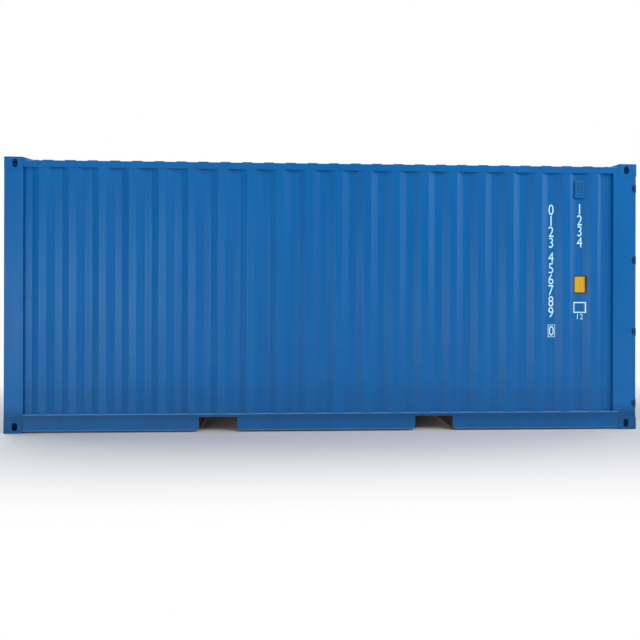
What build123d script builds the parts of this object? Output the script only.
# A 20 ft dry freight container of corrugated steel, with its two cargo doors closed.
# +X points to the door end, -Y to the long side called left, and +Z up.
# The origin lies on the ground, under the centre of the box. All sizes are in millimetres.
from build123d import *

from math import atan, cos, degrees, radians, tan
import os

os.makedirs("parts", exist_ok=True)

# Overall size
length = 6058.0
width = 2438.0
height = 2591.0

# Corner castings and their holes
casting_length = 178.0
casting_width = 162.0
casting_height = 118.0
casting_wall = 14.0
casting_plate = 22.0
casting_edge_radius = 9.0
casting_foot_radius = 4.5
lock_end_distance = 102.5
lock_side_distance = 89.5
lock_hole_length = 124.0
lock_hole_width = 63.5
side_hole_width = 51.0
end_hole_width = 63.5
grip_hole_height = 79.5
grip_hole_level = 62.0

# Side walls
wall_thickness = 2.0
wall_inset = 5.0
corrugation_depth = 36.0
corrugation_pitch = 278.0
corrugation_flat = 72.0
corrugation_slope = 68.0
corrugation_start = 73.0
wall_bend_radius = 14.0

# Front wall
front_depth = 45.6
front_pitch = 250.0
front_flat = 110.0
front_slope = 18.0
front_bend_radius = 10.0

# Posts
post_inset = 3.0
post_thickness = 6.0
rear_post_setback = 8.0
channel_length = 100.0
channel_depth = 40.0
channel_thickness = 12.0
recess_wall_gap = 24.0

# Rails and base
rail_clearance = 16.0
bottom_rail_height = 162.0
bottom_rail_inset = 4.0
bottom_rail_thickness = 4.5
bottom_rail_top_flange = 48.0
bottom_rail_lower_flange = 30.0
bend_radius = 7.0
top_rail_size = 60.0
top_rail_wall = 3.0
top_rail_drop = 34.0
front_rail_width = 60.0
front_rail_lower_flange = 40.0
front_rail_thickness = 4.0

# Fork pockets
pocket_spacing = 2068.0
pocket_width = 365.0
pocket_flare = 35.0
pocket_corner = 12.0
pocket_plate = 4.0

# Cross members and floor
member_clearance = 9.0
member_height = 122.0
member_top_flange = 45.0
member_lower_flange = 40.0
member_thickness = 4.0
members_in_bay = 5
floor_thickness = 28.0
floor_gap = 2.0
centre_rail_width = 60.0
centre_rail_thickness = 4.0

# Door end
leaf_setback = 71.0
leaf_thickness = 50.0
seal_thickness = 5.0
seal_clearance = 5.0
seal_lip_width = 35.0
stop_overlap_top = 10.0
stop_overlap_bottom = 15.0
centre_gap = 20.0
centre_seal = 6.0
centre_seal_depth = 18.0
end_frame_depth = 114.0
end_frame_step = 4.0
header_thickness = 4.0
sill_thickness = 4.5
header_lip_gap = 3.0

# Door leaves
stile_width = 100.0
stile_wall = 3.2
door_rail_height = 150.0
door_rail_wall = 3.0
door_sheet = 2.0
door_fields = 5
door_field_depth = 36.0
door_field_recess = 210.0
door_field_slope = 30.0
door_bend_radius = 8.0

# Hinges
hinge_count = 4
hinge_bottom_inset = 91.0
hinge_top_inset = 110.0
pin_edge = 12.0
pin_side = 14.0
pin_radius = 6.0
pin_clearance = 0.3
knuckle_radius = 12.0
knuckle_height = 50.0
knuckle_gap = 1.0
lug_thickness = 12.0
notch_depth = 40.0
blade_thickness = 10.0
blade_height = 40.0
blade_pad_length = 75.0
blade_edge = 5.0
blade_root = 8.0

# Locking gear
bar_radius = 17.0
bar_free_inset = 280.0
bar_hinge_inset = 295.0
bar_overrun = 30.0
cam_height = 45.0
cam_width = 56.0
cam_thickness = 28.0
cam_corner_radius = 9.0
keeper_cheek = 8.0
keeper_play = 10.0
keeper_base = 6.0
keeper_reach = 38.0
keeper_height = 48.0
bracket_height = 50.0
bracket_width = 96.0
bracket_base = 5.0
bracket_shell = 3.0
bracket_bore_play = 0.3
end_bracket_inset = 75.0
inner_handle_height = 1350.0
outer_handle_height = 1270.0
handle_end_gap = 180.0
handle_width = 32.0
handle_thickness = 12.0
hub_height = 60.0
catch_width = 60.0
catch_base = 6.0
catch_lip = 6.0
catch_reach = 32.0
catch_play = 0.5

# Ventilators
vent_width = 103.0
vent_play = 4.0
vent_height = 175.0
vent_depth = 24.0
vent_wall = 3.0
vent_chamfer = 7.0
vent_drop = 252.5
slot_count = 6
slot_height = 10.0
slot_pitch = 24.0
slat_thickness = 2.0
slat_length = 13.0
slat_inset = 4.3
slat_angle = 45.0

# Roof
roof_thickness = 2.0
roof_pitch = 209.0
roof_flat = 91.0
roof_slope = 13.5
roof_rise = 20.0
roof_margin = 68.0
roof_end_gap = 5.0
corner_plate_length = 135.0
corner_plate_slope = 90.0
corner_plate_width = 256.0
corner_plate_thickness = 4.0
corner_plate_drop = 4.0

# Places worked out from the sizes above
end_x = length / 2
side_y = width / 2
casting_x = end_x - casting_length
casting_y = side_y - casting_width
top_casting_z = height - casting_height
ridge_y = side_y - wall_inset
recess_y = ridge_y - corrugation_depth
wall_inside_y = recess_y - wall_thickness
post_y = side_y - post_inset
front_post_x = end_x - post_inset
front_ridge_x = front_post_x - wall_thickness
front_recess_x = front_ridge_x - front_depth
front_inside_x = front_recess_x - wall_thickness
rail_top = rail_clearance + bottom_rail_height
bottom_rail_y = side_y - bottom_rail_inset
bottom_rail_inside_y = bottom_rail_y - bottom_rail_thickness
bottom_flange_y = bottom_rail_y - bottom_rail_top_flange
roof_level = height - top_rail_drop
top_rail_z = roof_level - top_rail_size
front_rail_inside_x = front_post_x - front_rail_width
member_z = rail_clearance + member_clearance
member_top = member_z + member_height
floor_top = member_top + floor_thickness
rear_post_x = end_x - rear_post_setback
leaf_face_x = end_x - leaf_setback
leaf_back_x = leaf_face_x - leaf_thickness
stop_x = leaf_back_x - seal_thickness - seal_clearance
rear_post_front_x = stop_x - channel_length
frame_face_x = leaf_face_x - end_frame_step
frame_back_x = frame_face_x - end_frame_depth
channel_y = post_y - post_thickness - channel_depth
recess_wall_y = side_y - recess_wall_gap
leaf_edge_y = recess_wall_y - seal_thickness - seal_clearance
leaf_free_y = centre_gap / 2
header_lip_z = top_casting_z - header_lip_gap
leaf_top = header_lip_z - seal_thickness - seal_clearance
leaf_bottom = floor_top - stop_overlap_bottom
sill_ledge_z = leaf_bottom - seal_thickness - seal_clearance
header_stop_z = leaf_top - stop_overlap_top
pin_x = end_x - pin_edge
pin_y = side_y - pin_side
notch_x = rear_post_x - notch_depth
notch_height = knuckle_height + 2 * (knuckle_gap + lug_thickness)
bar_offset = bar_radius + bracket_shell
bar_x = leaf_face_x + bar_offset
bar_places = (leaf_free_y + bar_free_inset, leaf_edge_y - bar_hinge_inset)
handle_levels = (inner_handle_height, outer_handle_height)
handle_length = bar_places[1] - bar_places[0] - handle_end_gap
lock_x = end_x - lock_end_distance
lock_y = side_y - lock_side_distance
lowest_hinge = leaf_bottom + hinge_bottom_inset
hinge_pitch = (leaf_top - hinge_top_inset - lowest_hinge) / (hinge_count - 1)
hinge_levels = [lowest_hinge + index * hinge_pitch for index in range(hinge_count)]
upright_plane = Plane.XZ
across_plane = Plane.YZ


def write(piece, name):
    """Label one finished piece and write it to its own file."""
    piece.label = name
    export_step(piece, f"parts/{name}.step")


def write_pair(piece, name):
    """Write a piece of the left side, and its mirror image for the right side."""
    write(piece, f"{name}_left")
    write(mirror(piece, about=Plane.XZ), f"{name}_right")


def bent_sheet(plane, points, thickness, side, radius=0.0):
    """The section of a folded sheet, from its outer line and the side its metal lies on."""
    with BuildSketch(plane) as section:
        with BuildLine():
            if radius > 0:
                FilletPolyline(*points, radius=radius)
            else:
                Polyline(*points)
            offset(amount=thickness, side=side, kind=Kind.INTERSECTION)
        make_face()
    return section.sketch


def corrugated_line(start, end, first, level, depth, flat, slope, pitch, count):
    """Points of a trapezoid corrugation that stands out from its level by its depth."""
    points = [(start, level)]
    for index in range(count):
        foot = first + index * pitch
        points.append((foot, level))
        points.append((foot + slope, level + depth))
        points.append((foot + slope + flat, level + depth))
        points.append((foot + 2 * slope + flat, level))
    points.append((end, level))
    return points


# Corner castings: a hollow block with a lock hole, a side hole and an end hole
with BuildPart() as casting:
    with BuildSketch(Plane.XY):
        with Locations((-end_x + casting_length / 2, -side_y + casting_width / 2)):
            Rectangle(casting_length, casting_width)
    extrude(amount=casting_height)
    outer_corner = casting.edges().filter_by(Axis.Z)
    fillet(outer_corner, radius=casting_edge_radius)
    foot_edges = casting.faces().sort_by(Axis.Z)[0].edges()
    fillet(foot_edges, radius=casting_foot_radius)
    with BuildSketch(Plane.XY.offset(casting_plate)):
        with Locations((-end_x + casting_length / 2, -side_y + casting_width / 2)):
            Rectangle(casting_length - 2 * casting_wall, casting_width - 2 * casting_wall)
    extrude(amount=casting_height - casting_plate - casting_wall, mode=Mode.SUBTRACT)
    with BuildSketch(Plane.XY):
        with Locations((-lock_x, -lock_y)):
            SlotOverall(lock_hole_length, lock_hole_width)
    extrude(amount=casting_plate, mode=Mode.SUBTRACT)
    with BuildSketch(upright_plane.offset(side_y)):
        with Locations((-lock_x, grip_hole_level)):
            SlotOverall(grip_hole_height, side_hole_width, rotation=90)
    extrude(amount=-casting_wall, mode=Mode.SUBTRACT)
    with BuildSketch(across_plane.offset(-end_x)):
        with Locations((-lock_y, grip_hole_level)):
            SlotOverall(grip_hole_height, end_hole_width, rotation=90)
    extrude(amount=casting_wall, mode=Mode.SUBTRACT)

rear_casting = mirror(casting.part, about=Plane.YZ)
for end_name, low_casting in (("front", casting.part), ("rear", rear_casting)):
    high_casting = mirror(low_casting, about=Plane.XY.offset(height / 2))
    write_pair(low_casting, f"{end_name}_bottom_casting")
    write_pair(high_casting, f"{end_name}_top_casting")

# Front corner posts: an open pressing whose flanges meet the two walls
front_post_line = [
    (-casting_x, -wall_inside_y),
    (-casting_x, -post_y),
    (-front_post_x, -post_y),
    (-front_post_x, -casting_y),
    (-front_inside_x, -casting_y),
]
with BuildPart() as front_post:
    extrude(
        bent_sheet(
            Plane.XY.offset(casting_height), front_post_line, post_thickness, Side.RIGHT
        ),
        amount=top_casting_z - casting_height,
    )
write_pair(front_post.part, "front_post")

# Rear corner posts: a folded outer plate round a hot rolled channel, notched for the hinges
rear_post_line = [
    (rear_post_front_x, -post_y),
    (rear_post_x, -post_y),
    (rear_post_x, -recess_wall_y),
    (stop_x, -recess_wall_y),
]
with BuildPart() as rear_post:
    extrude(
        bent_sheet(Plane.XY.offset(casting_height), rear_post_line, post_thickness, Side.LEFT),
        amount=top_rail_z - casting_height,
    )
    with BuildSketch(Plane.XY.offset(casting_height)):
        with Locations((stop_x - channel_length / 2, -channel_y - channel_depth / 2)):
            Rectangle(channel_length, channel_depth)
        with Locations((stop_x - channel_length / 2, -channel_y - channel_depth)):
            Rectangle(
                channel_length - 2 * channel_thickness,
                2 * (channel_depth - channel_thickness),
                mode=Mode.SUBTRACT,
            )
    extrude(amount=top_rail_z - casting_height)
    with BuildSketch(upright_plane.offset(side_y)):
        with Locations((casting_x, rail_top)):
            Rectangle(casting_length, bottom_rail_height, align=(Align.MAX, Align.MAX))
        with Locations((casting_x, top_casting_z)):
            Rectangle(casting_length, casting_height, align=(Align.MIN, Align.MIN))
        for level in hinge_levels:
            with Locations((notch_x, level)):
                Rectangle(2 * notch_depth, notch_height, align=(Align.MIN, Align.CENTER))
    extrude(amount=-casting_width, mode=Mode.SUBTRACT)
write_pair(rear_post.part, "rear_post")

# Hinge lugs: two ears and a pin in each notch
with BuildPart() as hinge_lugs:
    for level in hinge_levels:
        notch_floor = level - notch_height / 2
        notch_roof = level + notch_height / 2
        for ear_floor in (notch_floor, notch_roof - lug_thickness):
            with BuildSketch(Plane.XY.offset(ear_floor)):
                with Locations((notch_x, -pin_y)):
                    Rectangle(
                        pin_x - notch_x, 2 * knuckle_radius, align=(Align.MIN, Align.CENTER)
                    )
                with Locations((pin_x, -pin_y)):
                    Circle(knuckle_radius)
            extrude(amount=lug_thickness)
        with BuildSketch(Plane.XY.offset(notch_floor)):
            with Locations((pin_x, -pin_y)):
                Circle(pin_radius)
        extrude(amount=notch_height)
    mirror(about=Plane.XZ)
write(hinge_lugs.part, "hinge_lugs")

# Bottom side rails: a folded channel, cut away below at the two fork pockets
bottom_rail_line = [
    (-bottom_flange_y, rail_top),
    (-bottom_rail_y, rail_top),
    (-bottom_rail_y, rail_clearance),
    (-bottom_rail_y + bottom_rail_lower_flange, rail_clearance),
]
with BuildPart() as bottom_side_rail:
    extrude(
        bent_sheet(
            across_plane.offset(-casting_x),
            bottom_rail_line,
            bottom_rail_thickness,
            Side.LEFT,
            bend_radius,
        ),
        amount=2 * casting_x,
    )
    with BuildSketch(upright_plane.offset(side_y)) as pocket_cut:
        with GridLocations(pocket_spacing, 0, 2, 1):
            with Locations((0, member_top)):
                Rectangle(pocket_width, member_top, align=(Align.CENTER, Align.MAX))
        upper_corners = pocket_cut.vertices().group_by(Axis.Z)[-1]
        fillet(upper_corners, radius=pocket_corner)
        with GridLocations(pocket_spacing, 0, 2, 1):
            with Locations((0, rail_clearance)):
                Rectangle(
                    pocket_width + 2 * pocket_flare,
                    pocket_flare,
                    align=(Align.CENTER, Align.MIN),
                )
            with GridLocations(pocket_width + 2 * pocket_flare, 0, 2, 1):
                with Locations((0, rail_clearance + pocket_flare)):
                    Circle(pocket_flare, mode=Mode.SUBTRACT)
    extrude(amount=-casting_width, mode=Mode.SUBTRACT)
write_pair(bottom_side_rail.part, "bottom_side_rail")

# Top side rails: square tube between the castings
with BuildPart() as top_side_rail:
    with BuildSketch(across_plane.offset(-casting_x)):
        with Locations((-post_y + top_rail_size / 2, top_rail_z + top_rail_size / 2)):
            Rectangle(top_rail_size, top_rail_size)
            Rectangle(
                top_rail_size - 2 * top_rail_wall,
                top_rail_size - 2 * top_rail_wall,
                mode=Mode.SUBTRACT,
            )
    extrude(amount=2 * casting_x)
write_pair(top_side_rail.part, "top_side_rail")

# Side walls: one corrugated sheet between the posts, on the bottom rail
side_wall_span = rear_post_front_x + casting_x - corrugation_start
corrugation_count = int(side_wall_span // corrugation_pitch)
side_wall_line = corrugated_line(
    -casting_x,
    rear_post_front_x,
    -casting_x + corrugation_start,
    -recess_y,
    -corrugation_depth,
    corrugation_flat,
    corrugation_slope,
    corrugation_pitch,
    corrugation_count,
)
with BuildPart() as side_wall:
    extrude(
        bent_sheet(
            Plane.XY.offset(rail_top),
            side_wall_line,
            wall_thickness,
            Side.LEFT,
            wall_bend_radius,
        ),
        amount=top_rail_z - rail_top,
    )
write_pair(side_wall.part, "side_wall")

# Front wall: a deeper corrugated sheet between the front posts
front_count = int(2 * casting_y // front_pitch)
front_first = -((front_count - 1) * front_pitch + front_flat + 2 * front_slope) / 2
front_wall_line = [
    (-level, place)
    for place, level in corrugated_line(
        -casting_y,
        casting_y,
        front_first,
        front_recess_x,
        front_depth,
        front_flat,
        front_slope,
        front_pitch,
        front_count,
    )
]
with BuildPart() as front_wall:
    extrude(
        bent_sheet(
            Plane.XY.offset(rail_top),
            front_wall_line,
            wall_thickness,
            Side.RIGHT,
            front_bend_radius,
        ),
        amount=top_rail_z - rail_top,
    )
write(front_wall.part, "front_wall")

# Front end rails: a folded channel below and a square tube above
front_rail_line = [
    (-front_rail_inside_x, rail_top),
    (-front_post_x, rail_top),
    (-front_post_x, rail_clearance),
    (-front_post_x + front_rail_lower_flange, rail_clearance),
]
with BuildPart() as front_bottom_rail:
    extrude(
        bent_sheet(
            upright_plane.offset(-casting_y),
            front_rail_line,
            front_rail_thickness,
            Side.LEFT,
            bend_radius,
        ),
        amount=2 * casting_y,
    )
write(front_bottom_rail.part, "front_bottom_rail")

with BuildPart() as front_top_rail:
    with BuildSketch(upright_plane.offset(-casting_y)):
        with Locations((-front_post_x + top_rail_size / 2, top_rail_z + top_rail_size / 2)):
            Rectangle(top_rail_size, top_rail_size)
            Rectangle(
                top_rail_size - 2 * top_rail_wall,
                top_rail_size - 2 * top_rail_wall,
                mode=Mode.SUBTRACT,
            )
    extrude(amount=2 * casting_y)
write(front_top_rail.part, "front_top_rail")

# Door header: a stepped hollow section, whose step is the stop of the door leaves
header_line = [
    (frame_back_x, roof_level),
    (frame_face_x, roof_level),
    (frame_face_x, header_lip_z),
    (stop_x, header_lip_z),
    (stop_x, header_stop_z),
    (frame_back_x, header_stop_z),
]
with BuildPart() as door_header:
    with BuildSketch(upright_plane.offset(-channel_y)):
        with BuildLine():
            Polyline(*header_line, close=True)
        make_face()
        offset(amount=-header_thickness, kind=Kind.INTERSECTION, mode=Mode.SUBTRACT)
    extrude(amount=2 * channel_y)
    with BuildSketch(Plane.XY.offset(header_stop_z)):
        with GridLocations(0, 2 * (casting_y + casting_width / 2), 1, 2):
            with Locations((stop_x, 0)):
                Rectangle(casting_length, casting_width, align=(Align.MIN, Align.CENTER))
    extrude(amount=height, mode=Mode.SUBTRACT)
    with BuildSketch(Plane.XY.offset(top_casting_z)):
        with GridLocations(0, 2 * (casting_y + casting_width / 2), 1, 2):
            with Locations((stop_x, 0)):
                Rectangle(casting_length, casting_width, align=(Align.MAX, Align.CENTER))
    extrude(amount=height, mode=Mode.SUBTRACT)
write(door_header.part, "door_header")

# Door sill: the same section upside down, with a ledge over each bottom casting
sill_line = [
    (frame_back_x, floor_top),
    (stop_x, floor_top),
    (stop_x, sill_ledge_z),
    (frame_face_x, sill_ledge_z),
    (frame_face_x, rail_clearance),
    (frame_back_x, rail_clearance),
]
with BuildPart() as door_sill:
    with BuildSketch(upright_plane.offset(-recess_wall_y)):
        with BuildLine():
            Polyline(*sill_line, close=True)
        make_face()
        offset(amount=-sill_thickness, kind=Kind.INTERSECTION, mode=Mode.SUBTRACT)
    extrude(amount=2 * recess_wall_y)
    with BuildSketch(Plane.XY):
        with GridLocations(0, 2 * (casting_y + casting_width / 2), 1, 2):
            with Locations((frame_face_x, 0)):
                Rectangle(2 * casting_length, casting_width)
    extrude(amount=casting_height, mode=Mode.SUBTRACT)
    with BuildSketch(Plane.XY):
        with GridLocations(0, 2 * (bottom_flange_y + casting_width / 2), 1, 2):
            with Locations((stop_x, 0)):
                Rectangle(casting_length, casting_width, align=(Align.MAX, Align.CENTER))
    extrude(amount=height, mode=Mode.SUBTRACT)
write(door_sill.part, "door_sill")

# Fork pockets: a steel tunnel without a bottom, right across the base
with BuildPart() as fork_pockets:
    with BuildSketch(upright_plane.offset(-bottom_rail_inside_y)):
        with GridLocations(pocket_spacing, 0, 2, 1):
            with Locations((0, member_top)):
                Rectangle(
                    pocket_width + 2 * pocket_plate,
                    member_height,
                    align=(Align.CENTER, Align.MAX),
                )
            with Locations((0, member_top - pocket_plate)):
                Rectangle(
                    pocket_width,
                    member_height,
                    align=(Align.CENTER, Align.MAX),
                    mode=Mode.SUBTRACT,
                )
    extrude(amount=2 * bottom_rail_inside_y)
write(fork_pockets.part, "fork_pockets")

# Cross members: folded channels in three bays, between the ends and the fork pockets
pocket_side = pocket_width / 2 + pocket_plate
bays = (
    (-front_rail_inside_x, -pocket_spacing / 2 - pocket_side),
    (-pocket_spacing / 2 + pocket_side, pocket_spacing / 2 - pocket_side),
    (pocket_spacing / 2 + pocket_side, frame_back_x),
)
with BuildPart() as cross_members:
    for bay_start, bay_end in bays:
        member_pitch = (bay_end - bay_start) / (members_in_bay + 1)
        for index in range(members_in_bay):
            web_x = bay_start + member_pitch * (index + 1) - member_thickness / 2
            member_line = [
                (web_x + member_top_flange, member_top),
                (web_x, member_top),
                (web_x, member_z),
                (web_x + member_lower_flange, member_z),
            ]
            extrude(
                bent_sheet(
                    upright_plane.offset(-bottom_rail_inside_y),
                    member_line,
                    member_thickness,
                    Side.LEFT,
                ),
                amount=2 * bottom_rail_inside_y,
            )
write(cross_members.part, "cross_members")

# Floor: plywood on both sides of a steel centre rail
floor_start = -front_rail_inside_x + floor_gap
floor_end = frame_back_x - floor_gap
board_start_y = centre_rail_width / 2 + floor_gap
board_end_y = bottom_flange_y - floor_gap
with BuildPart() as floor_boards:
    with BuildSketch(Plane.XY.offset(member_top)):
        with GridLocations(0, board_start_y + board_end_y, 1, 2):
            with Locations(((floor_start + floor_end) / 2, 0)):
                Rectangle(floor_end - floor_start, board_end_y - board_start_y)
    extrude(amount=floor_thickness)
write(floor_boards.part, "floor_boards")

centre_rail_line = [
    (-centre_rail_width / 2, member_top),
    (-centre_rail_width / 2, floor_top),
    (centre_rail_width / 2, floor_top),
    (centre_rail_width / 2, member_top),
]
with BuildPart() as floor_centre_rail:
    extrude(
        bent_sheet(
            across_plane.offset(floor_start),
            centre_rail_line,
            centre_rail_thickness,
            Side.RIGHT,
        ),
        amount=floor_end - floor_start,
    )
write(floor_centre_rail.part, "floor_centre_rail")

# Roof: a sheet on the rails with stamped ridges across it
ridge_taper = degrees(atan(roof_slope / roof_rise))
ridge_foot = roof_flat + 2 * roof_slope
ridge_length = 2 * (post_y - roof_margin)
skin = roof_thickness / cos(radians(ridge_taper)) - roof_thickness * tan(radians(ridge_taper))
roof_front_x = -front_post_x
roof_middle_x = (roof_front_x + frame_face_x) / 2
roof_end_flat = front_post_x - casting_x + corner_plate_length + roof_end_gap
ridge_span = frame_face_x - roof_front_x - 2 * roof_end_flat
roof_count = int((ridge_span - ridge_foot) // roof_pitch) + 1
with BuildPart() as roof_panel:
    with BuildSketch(Plane.XY.offset(roof_level)):
        with Locations((roof_middle_x, 0)):
            Rectangle(frame_face_x - roof_front_x, 2 * post_y)
        with GridLocations(2 * (casting_x + casting_length / 2), 2 * side_y - casting_width, 2, 2):
            Rectangle(casting_length, casting_width, mode=Mode.SUBTRACT)
    extrude(amount=roof_thickness)
    with BuildSketch(Plane.XY.offset(roof_level + roof_thickness)):
        with Locations((roof_middle_x, 0)):
            with GridLocations(roof_pitch, 0, roof_count, 1):
                Rectangle(ridge_foot, ridge_length)
    extrude(amount=roof_rise, taper=ridge_taper)
    with BuildSketch(Plane.XY.offset(roof_level)):
        with Locations((roof_middle_x, 0)):
            with GridLocations(roof_pitch, 0, roof_count, 1):
                Rectangle(ridge_foot - 2 * skin, ridge_length - 2 * skin)
    extrude(amount=roof_rise, taper=ridge_taper, mode=Mode.SUBTRACT)
write(roof_panel.part, "roof_panel")

# Roof corner plates: a bent plate that runs down from each top casting to the roof
plate_base = roof_level + roof_thickness
plate_top = height - corner_plate_drop
plate_line = [
    (-casting_x, plate_top),
    (-casting_x + corner_plate_slope, plate_base + corner_plate_thickness),
    (-casting_x + corner_plate_length, plate_base + corner_plate_thickness),
    (-casting_x + corner_plate_length, plate_base),
    (-casting_x + corner_plate_slope, plate_base),
    (-casting_x, plate_top - corner_plate_thickness),
]
cheek_line = [
    (-casting_x, plate_base),
    (-casting_x, plate_top - corner_plate_thickness),
    (-casting_x + corner_plate_slope, plate_base),
]
with BuildPart() as roof_corner_plates:
    with BuildSketch(upright_plane.offset(post_y)):
        with BuildLine():
            Polyline(*plate_line, close=True)
        make_face()
    extrude(amount=-corner_plate_width)
    for cheek_y in (post_y, post_y - corner_plate_width + corner_plate_thickness):
        with BuildSketch(upright_plane.offset(cheek_y)):
            with BuildLine():
                Polyline(*cheek_line, close=True)
            make_face()
        extrude(amount=-corner_plate_thickness)
    mirror(about=Plane.YZ)
    mirror(about=Plane.XZ)
write(roof_corner_plates.part, "roof_corner_plates")

# Ventilators: a hood with slanted slats, whose back fits between two wall ridges
last_foot = -casting_x + corrugation_start + (corrugation_count - 1) * corrugation_pitch
corrugation_recess = corrugation_pitch - corrugation_flat - 2 * corrugation_slope
vent_place = last_foot - corrugation_recess / 2
vent_level = height - vent_drop
vent_seat = corrugation_recess - 2 * vent_play
flare = (vent_width - vent_seat) / 2
flare_y = recess_y + flare * corrugation_depth / corrugation_slope
hood_y = recess_y + vent_depth
hood_line = [
    (vent_place - vent_seat / 2, -recess_y),
    (vent_place - vent_width / 2, -flare_y),
    (vent_place - vent_width / 2, -hood_y),
    (vent_place + vent_width / 2, -hood_y),
    (vent_place + vent_width / 2, -flare_y),
    (vent_place + vent_seat / 2, -recess_y),
]
with BuildPart() as ventilators:
    with BuildSketch(Plane.XY.offset(vent_level - vent_height / 2)):
        with BuildLine():
            Polyline(*hood_line, close=True)
        make_face()
    extrude(amount=vent_height)
    hood_face = ventilators.faces().sort_by(Axis.Y)[0]
    chamfer(hood_face.edges(), length=vent_chamfer)
    with BuildSketch(upright_plane.offset(recess_y)):
        with Locations((vent_place, vent_level)):
            Rectangle(vent_seat - 2 * vent_wall, vent_height - 2 * vent_chamfer)
    extrude(amount=vent_depth - vent_wall, mode=Mode.SUBTRACT)
    with BuildSketch(upright_plane.offset(recess_y)):
        with Locations((vent_place, vent_level)):
            with GridLocations(0, slot_pitch, 1, slot_count):
                Rectangle(vent_seat - 2 * vent_wall, slot_height)
    extrude(amount=vent_depth, mode=Mode.SUBTRACT)
    with BuildSketch(across_plane.offset(vent_place - vent_seat / 2 + vent_wall)):
        with Locations((-hood_y + vent_wall + slat_inset, vent_level)):
            with GridLocations(0, slot_pitch, 1, slot_count):
                Rectangle(slat_length, slat_thickness, rotation=slat_angle)
    extrude(amount=vent_seat - 2 * vent_wall)
    mirror(about=Plane.XZ)
write(ventilators.part, "ventilators")

# Cam keepers: a forked bracket on the sill and the header, in front of each bar
keeper_inside = cam_width / 2 + keeper_play
keeper_outside = keeper_inside + keeper_cheek
cam_low_z = leaf_bottom - bar_overrun - cam_height
cam_high_z = leaf_top + bar_overrun
with BuildPart() as door_keepers:
    for cam_floor in (cam_low_z, cam_high_z):
        keeper_floor = cam_floor + (cam_height - keeper_height) / 2
        with BuildSketch(Plane.XY.offset(keeper_floor)):
            for place in bar_places:
                with Locations((frame_face_x, -place)):
                    Rectangle(keeper_reach, 2 * keeper_outside, align=(Align.MIN, Align.CENTER))
                with Locations((frame_face_x + keeper_base, -place)):
                    Rectangle(
                        keeper_reach,
                        2 * keeper_inside,
                        align=(Align.MIN, Align.CENTER),
                        mode=Mode.SUBTRACT,
                    )
        extrude(amount=keeper_height)
    mirror(about=Plane.XZ)
write(door_keepers.part, "door_keepers")

# Door leaf frame: two tube stiles and two folded rails, welded into one frame
leaf_height = leaf_top - leaf_bottom
stile_outer_y = leaf_edge_y - stile_width
stile_inner_y = leaf_free_y + stile_width
panel_width = stile_outer_y - stile_inner_y
panel_middle_y = (stile_outer_y + stile_inner_y) / 2
leaf_middle_x = (leaf_face_x + leaf_back_x) / 2
with BuildPart() as door_frame:
    with BuildSketch(Plane.XY.offset(leaf_bottom)):
        for stile_y in (leaf_edge_y - stile_width / 2, leaf_free_y + stile_width / 2):
            with Locations((leaf_middle_x, -stile_y)):
                Rectangle(leaf_thickness, stile_width)
                Rectangle(
                    leaf_thickness - 2 * stile_wall,
                    stile_width - 2 * stile_wall,
                    mode=Mode.SUBTRACT,
                )
    extrude(amount=leaf_height)
    for rail_floor in (leaf_bottom, leaf_top - door_rail_height):
        door_rail_line = [
            (leaf_back_x, rail_floor),
            (leaf_face_x, rail_floor),
            (leaf_face_x, rail_floor + door_rail_height),
            (leaf_back_x, rail_floor + door_rail_height),
        ]
        extrude(
            bent_sheet(
                upright_plane.offset(stile_inner_y), door_rail_line, door_rail_wall, Side.LEFT
            ),
            amount=panel_width,
        )

# Door panel: a sheet with wide level fields, within the frame
panel_bottom = leaf_bottom + door_rail_height
panel_height = leaf_height - 2 * door_rail_height
recess_step = door_field_recess + 2 * door_field_slope
field_height = (panel_height - (door_fields - 1) * recess_step) / door_fields
field_line = [
    (level, place)
    for place, level in corrugated_line(
        panel_bottom,
        panel_bottom + panel_height,
        panel_bottom + field_height,
        leaf_face_x,
        -door_field_depth,
        door_field_recess,
        door_field_slope,
        field_height + recess_step,
        door_fields - 1,
    )
]
with BuildPart() as door_panel:
    extrude(
        bent_sheet(
            upright_plane.offset(stile_inner_y),
            field_line,
            door_sheet,
            Side.LEFT,
            door_bend_radius,
        ),
        amount=panel_width,
    )

# Door seal: a rubber frame round the leaf, with a lip behind it
with BuildPart() as door_seal:
    with BuildSketch(across_plane.offset(leaf_back_x - seal_thickness)):
        leaf_middle_z = (leaf_bottom + leaf_top) / 2
        seal_edge_y = leaf_edge_y + seal_thickness
        seal_free_y = leaf_free_y - centre_seal
        with Locations((-(seal_edge_y + seal_free_y) / 2, leaf_middle_z)):
            Rectangle(seal_edge_y - seal_free_y, leaf_height + 2 * seal_thickness)
        with Locations((-(leaf_edge_y + leaf_free_y) / 2, leaf_middle_z)):
            Rectangle(
                leaf_edge_y - leaf_free_y - 2 * seal_lip_width,
                leaf_height - 2 * seal_lip_width,
                mode=Mode.SUBTRACT,
            )
    extrude(amount=leaf_thickness + seal_thickness)
    with BuildSketch(across_plane.offset(leaf_back_x)):
        with Locations((-(leaf_edge_y + leaf_free_y) / 2, leaf_middle_z)):
            Rectangle(leaf_edge_y - leaf_free_y, leaf_height)
    extrude(amount=leaf_thickness, mode=Mode.SUBTRACT)
    with BuildSketch(across_plane.offset(leaf_back_x - seal_thickness)):
        with Locations((-leaf_free_y, leaf_middle_z)):
            Rectangle(centre_gap, 2 * leaf_height, align=(Align.MIN, Align.CENTER))
    extrude(amount=leaf_thickness + seal_thickness - centre_seal_depth, mode=Mode.SUBTRACT)

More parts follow.
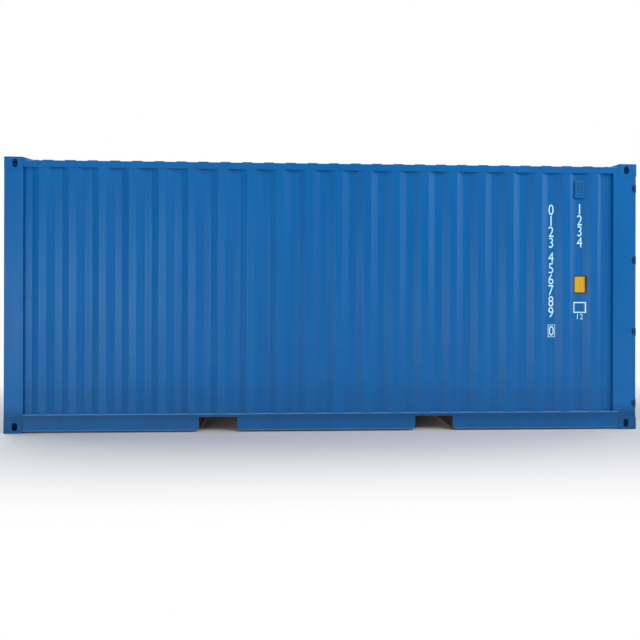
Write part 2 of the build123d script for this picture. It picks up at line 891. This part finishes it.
# Door hinges: a knuckle on the pin, and a cranked blade on the face of the stile
pad_end_y = leaf_edge_y - blade_edge
elbow = (leaf_face_x + blade_thickness / 2, -pad_end_y + blade_root)
with BuildPart() as door_hinges:
    for level in hinge_levels:
        with BuildSketch(Plane.XY.offset(level - blade_height / 2)):
            with Locations((leaf_face_x, -pad_end_y)):
                Rectangle(blade_thickness, blade_pad_length, align=(Align.MIN, Align.MIN))
            with BuildLine():
                blade_line = Line(elbow, (pin_x, -pin_y))
            trace(blade_line, line_width=blade_thickness)
        extrude(amount=blade_height)
        with BuildSketch(Plane.XY.offset(level - knuckle_height / 2)):
            with Locations((pin_x, -pin_y)):
                Circle(knuckle_radius)
        extrude(amount=knuckle_height)
        with BuildSketch(Plane.XY.offset(level - knuckle_height / 2)):
            with Locations((pin_x, -pin_y)):
                Circle(pin_radius + pin_clearance)
        extrude(amount=knuckle_height, mode=Mode.SUBTRACT)

# Locking bars: a tube the height of the leaf, with a cam forged on each end
with BuildPart() as lock_bars:
    bar_bottom = leaf_bottom - bar_overrun
    bar_length = leaf_height + 2 * bar_overrun
    with BuildSketch(Plane.XY.offset(bar_bottom)):
        for place in bar_places:
            with Locations((bar_x, -place)):
                Circle(bar_radius)
    extrude(amount=bar_length)
    for cam_floor in (cam_low_z, cam_high_z):
        with BuildSketch(Plane.XY.offset(cam_floor)) as cam_shape:
            for place in bar_places:
                with Locations((bar_x, -place)):
                    Rectangle(cam_thickness, cam_width)
            fillet(cam_shape.vertices(), radius=cam_corner_radius)
        extrude(amount=cam_height)

# Bar brackets and handle catches, bolted to the leaf
second_field_z = panel_bottom + field_height + recess_step + field_height / 2
bracket_levels = (
    leaf_bottom + end_bracket_inset,
    second_field_z,
    leaf_bottom + leaf_top - second_field_z,
    leaf_top - end_bracket_inset,
)
with BuildPart() as bar_fittings:
    for level in bracket_levels:
        with BuildSketch(Plane.XY.offset(level - bracket_height / 2)):
            for place in bar_places:
                with Locations((leaf_face_x, -place)):
                    Rectangle(bracket_base, bracket_width, align=(Align.MIN, Align.CENTER))
                    Rectangle(
                        bar_offset,
                        2 * (bar_radius + bracket_shell),
                        align=(Align.MIN, Align.CENTER),
                    )
                with Locations((bar_x, -place)):
                    Circle(bar_radius + bracket_shell)
                    Circle(bar_radius + bracket_bore_play, mode=Mode.SUBTRACT)
        extrude(amount=bracket_height)
    for place, level, reach in zip(bar_places, handle_levels, (1, -1)):
        catch_y = place + reach * (handle_length - catch_width / 2)
        slot_half = handle_width / 2 + catch_play
        with BuildSketch(across_plane.offset(leaf_face_x)):
            with Locations((-catch_y, level)):
                Rectangle(catch_width, 2 * (slot_half + catch_lip))
        extrude(amount=catch_reach)
        with BuildSketch(across_plane.offset(leaf_face_x + catch_base)):
            with Locations((-catch_y, level)):
                Rectangle(2 * catch_width, 2 * slot_half)
        extrude(amount=catch_reach, mode=Mode.SUBTRACT)

# Handles: a flat lever on a hub round each bar, turned towards the other bar
with BuildPart() as door_handles:
    for place, level, reach in zip(bar_places, handle_levels, (1, -1)):
        with BuildSketch(across_plane.offset(bar_x - handle_thickness / 2)):
            with Locations((-place - reach * handle_length / 2, level)):
                SlotOverall(handle_length + handle_width, handle_width)
        extrude(amount=handle_thickness)
        with BuildSketch(Plane.XY.offset(level - hub_height / 2)):
            with Locations((bar_x, -place)):
                Circle(bar_radius + bracket_shell)
        extrude(amount=hub_height)
    for place, level in zip(bar_places, handle_levels):
        with BuildSketch(Plane.XY.offset(level - hub_height)):
            with Locations((bar_x, -place)):
                Circle(bar_radius)
        extrude(amount=2 * hub_height, mode=Mode.SUBTRACT)

door_pieces = {
    "frame": door_frame,
    "panel": door_panel,
    "seal": door_seal,
    "hinges": door_hinges,
    "lock_bars": lock_bars,
    "bar_fittings": bar_fittings,
    "handles": door_handles,
}
for piece_name, builder in door_pieces.items():
    write(builder.part, f"door_left_{piece_name}")
    write(mirror(builder.part, about=Plane.XZ), f"door_right_{piece_name}")
